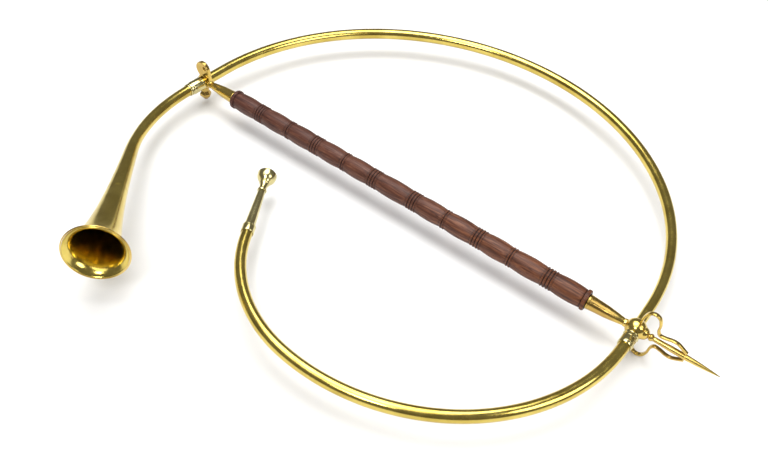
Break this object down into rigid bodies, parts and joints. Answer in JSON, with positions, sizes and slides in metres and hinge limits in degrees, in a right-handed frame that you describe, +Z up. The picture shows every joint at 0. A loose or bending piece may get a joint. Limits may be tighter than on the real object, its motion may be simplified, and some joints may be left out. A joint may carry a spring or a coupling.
{
  "type": "horn",
  "caption": "Roman cornu: G-shaped natural horn of conical brass tube with flared bell, cup mouthpiece and a turned wooden crossbar with spiked finial",
  "frame": {"origin": "bottom centre of the bounding box, with the loop lying flat", "axes": "+X along the crossbar towards the spiked finial, +Y from the crossbar towards the upper loop, +Z up, square to the plane of the loop"},
  "size_m": [1.231, 1.1594, 0.1741],
  "materials": {
    "brass_tube": "polished sheet brass, soft reflections",
    "brass_pale": "pale polished brass",
    "brass_gold": "cast golden brass, polished",
    "rosewood": "turned and waxed dark reddish wood",
    "steel": "plain drawn rod, hidden in the wood"
  },
  "bodies": {
    "horn": {"crossbar_grip": "rosewood", "finial_spike": "brass_gold", "leadpipe": "brass_pale", "leadpipe_ring": "brass_pale", "leadpipe_sleeve": "brass_pale", "lower_bar_cone": "brass_gold", "lower_collar": "brass_gold", "lower_ferrule_ring": "brass_pale", "lower_tube": "brass_tube", "lower_tube_ferrule": "brass_pale", "scroll_band_lower": "brass_gold", "scroll_band_upper": "brass_gold", "tie_rod": "steel", "upper_bar_cone": "brass_gold", "upper_collar": "brass_gold", "upper_tube": "brass_tube"},
    "bell": {"bell_tail": "brass_tube", "bell_flare": "brass_tube", "bell_rim_wire": "brass_gold", "bell_ferrule": "brass_pale", "bell_ferrule_ring": "brass_pale"},
    "mouthpiece": {"mouthpiece": "brass_pale"},
    "clamp_screw": {"clamp_screw": "brass_gold"}
  },
  "joints": [
    {"name": "bell_swivel", "type": "hinge", "parent": "horn", "child": "bell", "pos_m": [-0.5955, -0.01969, 0.05665], "axis": [0, -1, 0], "continuous": true},
    {"name": "mouthpiece_draw", "type": "slide", "parent": "horn", "child": "mouthpiece", "axis": [-0.4894, 0.8721, 0], "range_m": [0, 0.035]},
    {"name": "clamp_screw_turn", "type": "hinge", "parent": "horn", "child": "clamp_screw", "pos_m": [-0.5955, -0.01969, 0.05665], "axis": [0, 0, 1], "continuous": true}
  ]
}
